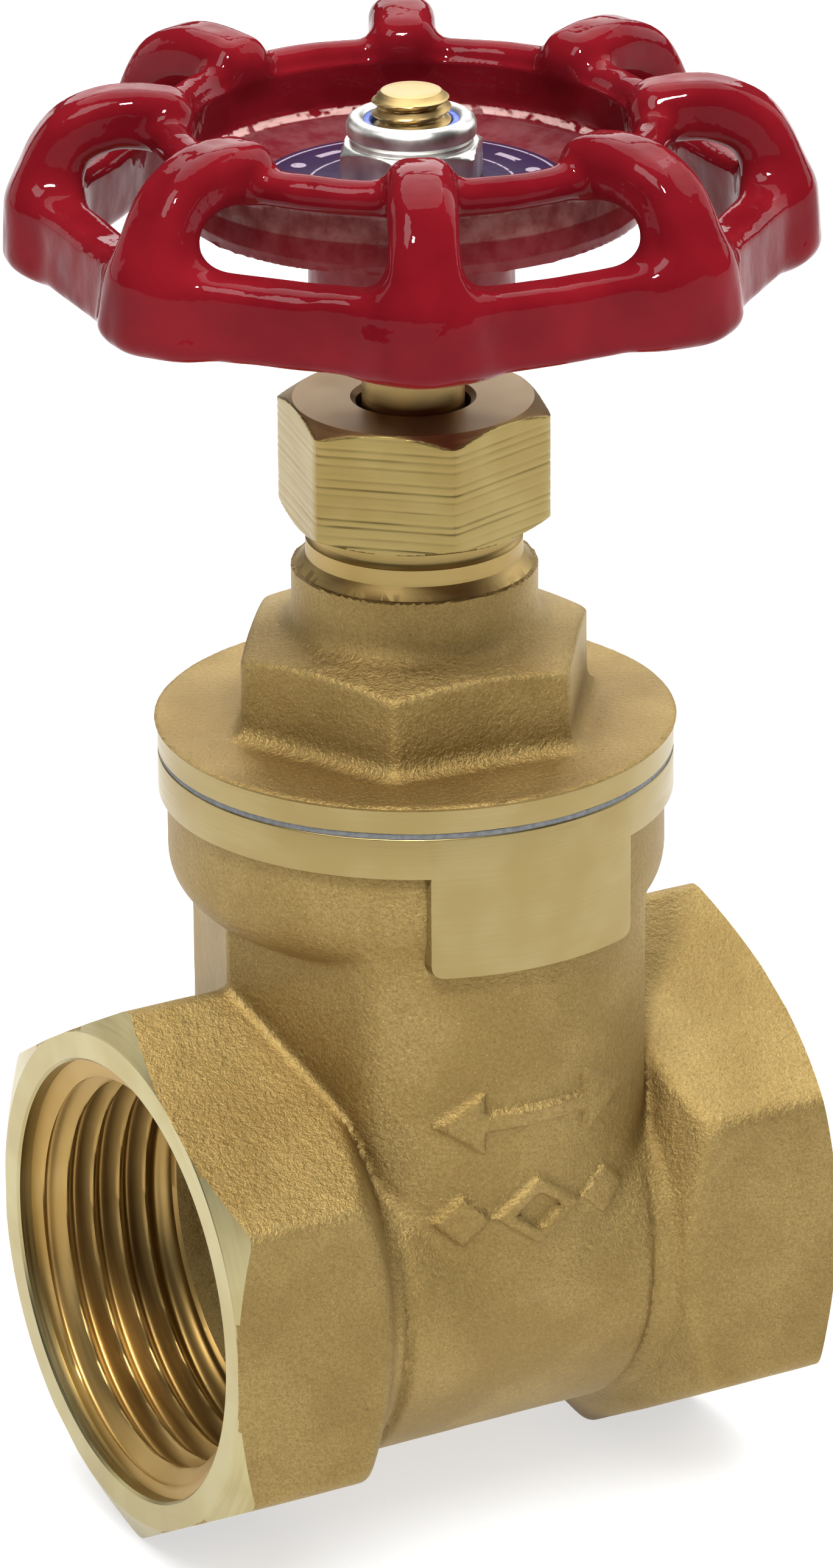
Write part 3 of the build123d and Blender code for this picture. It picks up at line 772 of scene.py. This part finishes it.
# ---- bonnet ---------------------------------------------------------------------------------------
def bonnet_field(x, y, z):
    rho = np.hypot(x, y)
    cos, sin = math.cos(BONNET_HEX_TURN), math.sin(BONNET_HEX_TURN)
    along, across = x * cos + y * sin, -x * sin + y * cos
    flange = rounded_box(rho, z - (GASKET_TOP + BONNET_FLANGE_TOP) / 2, FLANGE_R + 0.3,
                         (BONNET_FLANGE_TOP - GASKET_TOP) / 2, 0.35)
    sides = hexagon_field(across, along, BONNET_HEX_APOTHEM, 0.6)
    crown = (z - BONNET_HEX_TOP) * BONNET_CROWN_SLOPE + rho - BONNET_CROWN_R
    crown = crown / math.hypot(BONNET_CROWN_SLOPE, 1)
    spanner = smooth_max(smooth_max(sides, crown, 0.35), z - BONNET_CROWN_TOP, 0.5)
    spanner = np.maximum(spanner, GASKET_TOP + 0.5 - z)
    neck = np.maximum(rho - NECK_R, np.maximum(z - NECK_SHOULDER - 0.4, GASKET_TOP + 0.5 - z))
    return smooth_min(smooth_min(flange, spanner, 1.6), neck, 1.3)


def threaded(radius, bottom, top, pitch, depth, columns=72, hand=1):
    """Rings of points over a male thread about the stem axis. hand is -1 for a left-hand thread."""
    angle = np.arange(columns) * TAU / columns
    rings = []
    for z in np.linspace(bottom, top, max(4, int((top - bottom) / pitch * 12))):
        phase = np.mod((z - hand * pitch * angle / TAU) / pitch, 1.0)
        groove = np.clip(1.25 * (1 - np.abs(2 * phase - 1)) - 0.12, 0, 1)
        fade = min(1.0, (z - bottom) / pitch + 0.05)
        r = radius - depth * groove * fade
        rings.append(np.stack([r * np.cos(angle), r * np.sin(angle), np.full(columns, z)], 1))
    return rings


def plain_ring(radius, z, columns=72):
    angle = np.arange(columns) * TAU / columns
    radius = np.broadcast_to(radius, columns)
    return np.stack([radius * np.cos(angle), radius * np.sin(angle), np.full(columns, z)], 1)


def make_bonnet():
    bonnet = field_piece("bonnet_casting", bonnet_field, (-21.0, -21.0, 39.2), (21.0, 21.0, 55.0), 0.32,
                         roughness=((4.0, 0.03, 7), (1.4, 0.012, 8)))
    tool = [(FLANGE_R, GASKET_TOP), (FLANGE_R, 41.6), (FLANGE_R + 0.6, 42.3), (30.0, 42.4), (30.0, 60.0)]
    combine(bonnet, turned_solid("turning", tool, 256), "INTERSECT")
    skirt = [(12.0, BONNET_SKIRT_BOTTOM), (BONNET_SKIRT_R, BONNET_SKIRT_BOTTOM),
             (BONNET_SKIRT_R, GASKET_TOP + 0.5), (12.0, GASKET_TOP + 0.5)]
    combine(bonnet, turned("skirt", skirt, 96, r=0.3), "UNION")
    neck = [(9.28, 53.0), (9.34, NECK_SHOULDER), (8.44, 54.85), (8.26, 55.05), (8.24, 56.3), (8.0, NECK_TOP),
            (7.9, 56.8), (7.9, NUT_BOTTOM - 0.15), (NUT_THREAD_ROOT_R, NUT_BOTTOM - 0.1)]
    rings = [plain_ring(r, z) for r, z in neck]
    rings += threaded(NUT_THREAD_R, NUT_BOTTOM + 0.2, NUT_THREAD_TOP - 0.3, METRIC_PITCH, 0.6)
    rings += [plain_ring(NUT_THREAD_ROOT_R, NUT_THREAD_TOP)]
    combine(bonnet, skin("nut_thread", rings), "UNION")
    bore = [(14.8, 30.0), (14.8, 39.6), (10.0, 43.4), (10.0, 44.4), (6.8, 44.4), (6.8, 49.4), (3.95, 49.4),
            (3.95, 53.0), (5.95, 53.0), (5.95, 70.0)]
    combine(bonnet, turned_solid("bore", bore, 96))

    def pick(x, y, z):
        rough = (np.abs(bonnet_field(x, y, z) + BONNET_SKIN) < 0.1) & (np.hypot(x, y) < FLANGE_R - 0.02)
        cast = (rough & (z > 41.5)) | ((z > 41.62) & (z < 42.6))
        return np.where(cast, 0, np.where(z > NECK_SHOULDER - 0.2, 2, 1))

    shade(bonnet, [CAST, LATHE_STEM, NECK], pick)
    place(bonnet, "valve_body", "cast_brass", "bonnet")


# ---- packing nut ----------------------------------------------------------------------------------
def hexagon_columns(per_side):
    """Angles around a hexagon, closer together at its corners, and the distance to its side there."""
    share = np.linspace(-1, 1, per_side + 1)[:-1]
    within = np.sign(share) * (1 - (1 - np.abs(share)) ** 1.8) * math.pi / 6
    angle = (np.arange(6)[:, None] * math.pi / 3 + within[None, :]).ravel()
    reach = 1 / np.cos(np.tile(within, 6))
    return angle, reach


def nut_skin(name, rings, angle):
    """Ring-shaped skin over (radii, height) rings, whose radii stand at these angles."""
    points = [np.stack([r * np.cos(angle), r * np.sin(angle), np.full_like(r, z)], 1) for r, z in rings]
    return skin(name, points, ring_shaped=True)


def make_packing_nut():
    angle, reach = hexagon_columns(20)
    apothem = NUT_CORNER_R * math.cos(math.pi / 6)
    side = smooth_min(apothem * reach, np.full_like(reach, NUT_CORNER_R - 0.12), 0.25)
    span = NUT_TOP - NUT_BOTTOM
    rng = np.random.default_rng(21)
    steps = np.arange(NUT_GROOVES) + rng.uniform(0.25, 0.75, NUT_GROOVES)
    grooves = NUT_BOTTOM + steps * span / NUT_GROOVES
    depths = rng.uniform(*NUT_GROOVE_DEPTHS, NUT_GROOVES)
    uneven = np.repeat(rng.uniform(0.5, 1.0, (NUT_GROOVES, len(angle) // 4)), 4, axis=1)
    rings = []
    for z in np.arange(NUT_BOTTOM, NUT_TOP + 0.001, span / 150):
        r = side - (depths * np.exp(-((z - grooves) / NUT_GROOVE_WIDTH) ** 2)) @ uneven
        cone_top = 9.1 + (NUT_TOP - z) * 1.75
        cone_bottom = 9.3 + (z - NUT_BOTTOM) * 2.2
        r = np.minimum(r, min(cone_top, cone_bottom))
        rings.append((r, z))
    rings += [(np.full_like(reach, r), z) for r, z in (
        (8.9, NUT_TOP), (4.75, NUT_TOP), (NUT_HOLE_R, NUT_TOP - 0.35), (NUT_HOLE_R, NUT_CEILING),
        (NUT_BORE_R, NUT_CEILING), (NUT_BORE_R, NUT_BOTTOM + 0.5), (NUT_BORE_R + 0.5, NUT_BOTTOM))]
    nut = nut_skin("packing_nut_hex", rings, angle + NUT_TURN + math.pi / 6)

    def pick(x, y, _z):
        turn = np.mod(np.arctan2(y, x) - NUT_TURN, math.pi / 3) - math.pi / 6
        on_side = np.abs(np.hypot(x, y) * np.cos(turn) - apothem) < 0.12
        return np.where(on_side, 0, 1)

    shade(nut, [FACED, CHAMFER], pick, sharp=28)
    place(nut, "valve_body", "turned_brass", "packing_nut")


# ---- stem -----------------------------------------------------------------------------------------
def make_stem():
    columns = 96
    angle = np.arange(columns) * TAU / columns
    rings = [plain_ring(3.2, STEM_TIP, columns), plain_ring(3.5, STEM_TIP + 0.3, columns)]
    rings += threaded(4.0, STEM_TIP + 0.8, 46.2, 3.0, 0.7, columns, hand=-1)
    rings += [plain_ring(r, z, columns) for r, z in (
        (3.6, 46.3), (3.6, COLLAR_BOTTOM), (COLLAR_R - 0.2, COLLAR_BOTTOM), (COLLAR_R, COLLAR_BOTTOM + 0.2),
        (COLLAR_R, COLLAR_TOP - 0.2), (COLLAR_R - 0.2, COLLAR_TOP), (STEM_R, COLLAR_TOP), (STEM_R, 73.6),
        (STEM_R - 0.06, SQUARE_BOTTOM - 0.08))]
    half = SQUARE_SIDE / 2
    square = np.minimum(STEM_R, half / np.maximum(np.abs(np.cos(angle)), np.abs(np.sin(angle))))
    rings += [plain_ring(square, z, columns) for z in (SQUARE_BOTTOM, SQUARE_TOP - 0.1)]
    rings += [plain_ring(2.8, SQUARE_TOP, columns), plain_ring(2.5, SQUARE_TOP + 0.3, columns)]
    rings += threaded(2.97, SQUARE_TOP + 0.4, STEM_TOP - 0.45, METRIC_PITCH, 0.55, columns)
    rings += [plain_ring(r, z, columns) for r, z in (
        (2.55, STEM_TOP - 0.32), (2.28, STEM_TOP - 0.05), (2.18, STEM_TOP), (1.2, STEM_TOP - 0.03))]
    stem = shade(skin("stem_shaft", rings), [SPUN])
    place(stem, "handwheel_stem", "turned_brass", "stem")


# ---- handwheel --------------------------------------------------------------------------------------
def folded(x, y):
    """Position along and across the nearest lobe's direction, never negative across, and the radius."""
    step = TAU / LOBES
    turn = np.mod(np.arctan2(y, x) - LOBE_TURN + step / 2, step) - step / 2
    rho = np.hypot(x, y)
    return rho * np.cos(turn), rho * np.abs(np.sin(turn)), rho


def curve_through(points, per_span=4):
    """Points along a smooth curve that goes through the points given."""
    p = np.array([points[0], *points, points[-1]], float)
    made = []
    for a, b, c, d in zip(p, p[1:], p[2:], p[3:]):
        for t in np.arange(per_span) / per_span:
            made.append(b + 0.5 * t * (c - a + t * (2 * a - 5 * b + 4 * c - d + t * (3 * (b - c) + d - a))))
    return np.array(made + [p[-1]])


RIB_CURVE = curve_through(RIB_LINE)


def rib_field(u, v, z):
    """Arched rib: thick line in its own plane, wide at the rim and narrower at the top."""
    steps = len(RIB_CURVE) - 1
    nearest = np.full_like(u, 1e3)
    along = np.zeros_like(u)
    for i in range(steps):
        d, t = segment_distance(u, z, RIB_CURVE[i], RIB_CURVE[i + 1])
        along = np.where(d < nearest, (i + t) / steps, along)
        nearest = np.minimum(d, nearest)
    width = RIB_HALF_WIDTH + RIB_SPREAD * np.clip(1 - along * 1.9, 0, 1) ** 1.5
    return rounded_box(nearest, v, RIB_HALF_THICKNESS, width, 1.9)


def wheel_field(x, y, z):
    """The whole wheel: rim and ribs, then ring, wall, plate and hub."""
    u, v, rho = folded(x, y)
    half_step = math.pi / LOBES
    share = np.arctan2(v, u) / half_step
    share = smooth_min(smooth_max(share, -share, 0.22), 2 - share, 0.5)
    wall = RIM_WALL / 2
    lobe = (RIM_LOBE_R - wall - 0.95, 0.0)
    waist = ((RIM_WAIST_R - wall) * math.cos(half_step), (RIM_WAIST_R - wall) * math.sin(half_step))
    away = math.hypot(waist[0] - lobe[0], waist[1])
    normal = (waist[1] / away, (lobe[0] - waist[0]) / away)
    across = ((rho * np.cos(share * half_step) - lobe[0]) * normal[0]
              + rho * np.sin(share * half_step) * normal[1])
    middle = (RIM_BOTTOM + RIM_TOP) / 2 - 0.1 - 0.35 * share
    rim = rounded_box(across + 0.06 * (z - middle), z - middle, wall, (RIM_TOP - RIM_BOTTOM) / 2 - 0.12, 1.3)
    rib = smooth_max(rib_field(u, v, z), RIM_BOTTOM + 0.45 - z, 1.6)
    rib = smooth_min(rim, rib, 2.6)
    ring = np.hypot(rho - RING_R, z - RING_Z) - RING_TUBE
    skirt = rounded_box(rho - SKIRT_WALL_R - 0.06 * (86 - z), z - 85.8, 0.6, 2.8, 0.25)
    plate = rounded_box(rho, z - (PLATE_BOTTOM + PLATE_TOP) / 2, 17.5, (PLATE_TOP - PLATE_BOTTOM) / 2, 0.4)
    slope_top = PLATE_TOP + np.clip((rho - 12.0) / 4.6, 0, 1) ** 1.5 * 1.1
    floor = np.maximum(np.maximum(z - slope_top, PLATE_BOTTOM - z),
                       np.maximum(rho - BOWL_OUTER_R, 11.9 - rho))
    hub = np.maximum(rho - HUB_R, np.maximum(z - 83.0, SQUARE_BOTTOM - z))
    inner = smooth_min(smooth_min(plate, hub, 1.6), smooth_min(floor, skirt, 0.35), 0.3)
    flash = np.hypot(rho - FLASH_R, z - FLASH_Z) - 0.22
    inner = smooth_min(smooth_min(inner, flash, 0.1), ring, 0.4)
    return smooth_min(rib, inner, 0.9)


def make_handwheel():
    wheel = field_piece("handwheel_casting", wheel_field, (-31.6, -31.6, 73.6), (31.6, 31.6, 92.6), 0.32,
                        roughness=((6.0, 0.11, 11), (2.8, 0.05, 12)))
    hole = prism("square", rectangle(SQUARE_HOLE_HALF, SQUARE_HOLE_HALF), 72.0, 86.0)
    combine(wheel, hole)

    def pick(x, y, z):
        return np.where((np.maximum(np.abs(x), np.abs(y)) < 3.1) & (z < 84), 1, 0)

    shade(wheel, [RED, LATHE_STEM], pick, sharp=50)
    place(wheel, "handwheel_stem", "red_enamel", "handwheel")


# ---- label disc, wheel nut and its ring --------------------------------------------------------------
def make_label():
    outline = [(LABEL_HOLE_R, PLATE_TOP), (LABEL_R, PLATE_TOP), (LABEL_R, LABEL_TOP - 0.02),
               (LABEL_HOLE_R, LABEL_TOP)]
    disc = turned("printed_name_disc", outline, 128)
    shade(disc, [printed_disc()])
    place(disc, "handwheel_stem", "plate", "name_plate")


def make_lock_nut():
    angle, reach = hexagon_columns(20)
    apothem = LOCK_CORNER_R * math.cos(math.pi / 6)
    side = smooth_min(apothem * reach, np.full_like(reach, LOCK_CORNER_R - 0.04), 0.12)
    rings = []
    for z in np.linspace(LABEL_TOP, LOCK_HEX_TOP, 34):
        cone = min(4.95 + (z - LABEL_TOP) * 2.0, 4.95 + (LOCK_HEX_TOP - z) * 1.5)
        rings.append((np.minimum(side, cone), z))
    collar = [(4.62, 87.32), (4.55, 87.55), (4.62, 87.75), (4.8, 87.9), (LOCK_COLLAR_R, 88.3), (4.84, 88.7),
              (4.7, 89.05), (4.45, 89.25), (4.1, LOCK_TOP), (3.8, 89.25), (3.6, 89.05), (3.56, 88.85),
              (LOCK_POCKET_R, NYLON_TOP), (LOCK_POCKET_R, LOCK_POCKET_BOTTOM),
              (3.02, LOCK_POCKET_BOTTOM - 0.1), (3.02, LABEL_TOP + 0.4), (3.3, LABEL_TOP)]
    rings += [(np.full_like(reach, r), z) for r, z in collar]
    nut = nut_skin("lock_nut_hex", rings, angle + LOCK_TURN + math.pi / 6)
    shade(nut, [zinc()], sharp=32)
    place(nut, "handwheel_stem", "zinc", "handwheel_nut")


def make_nylon_ring():
    outline = [(2.98, LOCK_POCKET_BOTTOM), (LOCK_POCKET_R, LOCK_POCKET_BOTTOM), (LOCK_POCKET_R, NYLON_TOP),
               (3.5, 88.98), (3.15, 88.98), (2.98, NYLON_TOP)]
    ring = turned("nylon_locking_ring", outline, 96, r=0.1)
    shade(ring, [nylon()])
    place(ring, "handwheel_stem", "nylon", "nut_nylon_ring")


def finish_cad_nodes():
    """Materials for the plain internal parts whose CAD shape stays."""
    kept = {"bonnet_gasket": GREY, "thrust_washer": WHITE, "wedge": LATHE_PIPE,
            "stem_retaining_ring": LATHE_STEM, "gland_follower": LATHE_STEM}
    kept.update({f"packing_ring_{i}": GRAPHITE for i in (1, 2, 3)})
    for name, material in kept.items():
        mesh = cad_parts[name].data
        mesh.materials.clear()
        mesh.materials.append(material)


make_body()
make_bonnet()
make_packing_nut()
make_stem()
make_handwheel()
make_label()
make_lock_nut()
make_nylon_ring()
finish_cad_nodes()


# ---- floor, lights and camera --------------------------------------------------------------------------
ROOM_BRIGHT_SIDE = (0.05, 0.93, 0.36)    # direction that the studio is brightest in
ROOM_DARK, ROOM_BRIGHT = 0.06, 1.08
FLOOR_HALF = 3.0                         # half the floor's side, in metres


def pointing(direction, roll=0.0):
    """Rotation that looks along a direction, turned about it."""
    return direction.to_track_quat("-Z", "Y").to_matrix().to_4x4() @ Matrix.Rotation(roll, 4, "Z")


def lamp(name, kind, power, matrix, diffuse=True, glossy=True):
    """Lamp of one kind, which may be left out of matt light or of reflections."""
    data = bpy.data.lights.new(name, kind)
    data.energy = power
    made = bpy.data.objects.new(name, data)
    bpy.context.scene.collection.objects.link(made)
    made.matrix_world = matrix
    made.visible_diffuse, made.visible_glossy = diffuse, glossy
    return made


def area_light(name, stand, aim, size, power, diffuse=True):
    """Soft rectangular lamp that stands at one point and faces another, in metres and watts."""
    matrix = Matrix.Translation(stand) @ pointing(Vector(aim) - Vector(stand))
    made = lamp(name, "AREA", power, matrix, diffuse)
    made.data.shape = "RECTANGLE"
    made.data.size, made.data.size_y = size
    return made


def sun(name, direction, power, spread, diffuse=True, glossy=True):
    """Distant light that shines in one direction, from a patch of sky this many degrees wide."""
    made = lamp(name, "SUN", power, pointing(Vector(direction)), diffuse, glossy)
    made.data.angle = math.radians(spread)


def make_floor():
    """Pale paper under the valve. It glows, so that it stays nearly white where shadows fall."""
    corners = [(x, y, cad_box[0].z) for x, y in rectangle(FLOOR_HALF, FLOOR_HALF).tolist()]
    mesh = bpy.data.meshes.new("floor")
    mesh.from_pydata(corners, [], [(0, 1, 2, 3)])
    floor = bpy.data.objects.new("floor", mesh)
    bpy.context.scene.collection.objects.link(floor)
    material = bpy.data.materials.new("floor_paper")
    material.use_nodes = True
    shader = material.node_tree.nodes["Principled BSDF"]
    shader.inputs["Base Color"].default_value = colour(0.47, 0.47, 0.47)
    shader.inputs["Emission Color"].default_value = colour(1.0, 1.0, 1.0)
    shader.inputs["Emission Strength"].default_value = 0.60
    shader.inputs["Roughness"].default_value = 0.9
    shader.inputs["Specular IOR Level"].default_value = 0.1
    mesh.materials.append(material)


def make_world():
    """Room that brightens towards one side, with a white backdrop where the camera sees past the floor."""
    world = bpy.data.worlds.new("studio")
    world.use_nodes = True
    nodes, links = world.node_tree.nodes, world.node_tree.links
    background = nodes["Background"]
    direction = nodes.new("ShaderNodeTexCoord")
    towards = nodes.new("ShaderNodeVectorMath")
    towards.operation = "DOT_PRODUCT"
    towards.inputs[1].default_value = ROOM_BRIGHT_SIDE
    links.new(direction.outputs["Generated"], towards.inputs[0])
    ramp = nodes.new("ShaderNodeMapRange")
    set_range(ramp, -1.0, 1.0, ROOM_DARK, ROOM_BRIGHT)
    links.new(towards.outputs["Value"], ramp.inputs["Value"])
    links.new(ramp.outputs["Result"], background.inputs["Strength"])
    backdrop = nodes.new("ShaderNodeBackground")
    backdrop.inputs["Color"].default_value = colour(1.0, 1.0, 1.0)
    seen = nodes.new("ShaderNodeLightPath")
    either = nodes.new("ShaderNodeMixShader")
    links.new(seen.outputs["Is Camera Ray"], either.inputs[0])
    links.new(background.outputs[0], either.inputs[1])
    links.new(backdrop.outputs[0], either.inputs[2])
    links.new(either.outputs[0], nodes["World Output"].inputs["Surface"])
    bpy.context.scene.world = world


def make_lights():
    """Reflections and matt light are lit apart: each lamp may be left out of one of them."""
    middle, top = (0.0, 0.0, 0.04), (0.0, 0.0, 0.06)
    sun("ceiling", (-0.24, -0.44, -0.866), 2.5, 56, diffuse=False)
    sun("floor_lift", (0.05, 0.50, -0.86), 1.5, 150, glossy=False)
    sun("top_fill", (0.05, 0.15, -0.98), 4.5, 70, glossy=False)
    sun("front_fill", (0.15, 0.72, -0.68), 0.9, 50, glossy=False)
    area_light("left_box", (-0.44, 0.62, 0.22), middle, (0.4, 0.3), 0.7)
    area_light("right_box", (0.55, 0.05, 0.35), middle, (0.4, 0.5), 1.6)
    area_light("upper_left", (-0.34, -0.10, 0.60), (-0.01, 0.0, 0.02), (0.25, 0.30), 3.0, diffuse=False)
    back_box = area_light("back_box", (0.38, 0.74, 0.36), top, (0.55, 0.35), 1.6, diffuse=False)
    back_box.visible_camera = False
    area_light("window", (-0.16, -0.26, 0.50), top, (0.05, 0.065), 4.0, diffuse=False)


def make_camera():
    """The camera looks down at the valve from the front left, as the part is usually shown."""
    azimuth, elevation, roll = math.radians(-29.053), math.radians(22.115), math.radians(-0.387)
    distance, lens = 0.59903, 179.78
    right = Vector((math.cos(azimuth), math.sin(azimuth), 0))
    back = Vector((math.sin(azimuth) * math.cos(elevation), -math.cos(azimuth) * math.cos(elevation),
                   math.sin(elevation)))
    target = right * 0.000047 + Vector((0, 0, 0.03585))
    data = bpy.data.cameras.new("camera")
    data.sensor_width, data.lens = 36.0, lens
    data.clip_start, data.clip_end = 0.01, 20.0
    camera = bpy.data.objects.new("camera", data)
    bpy.context.scene.collection.objects.link(camera)
    camera.matrix_world = Matrix.Translation(target + back * distance) @ pointing(-back, roll)
    bpy.context.scene.camera = camera


make_floor()
make_world()
make_lights()
make_camera()
bpy.context.scene.view_settings.view_transform = "Standard"
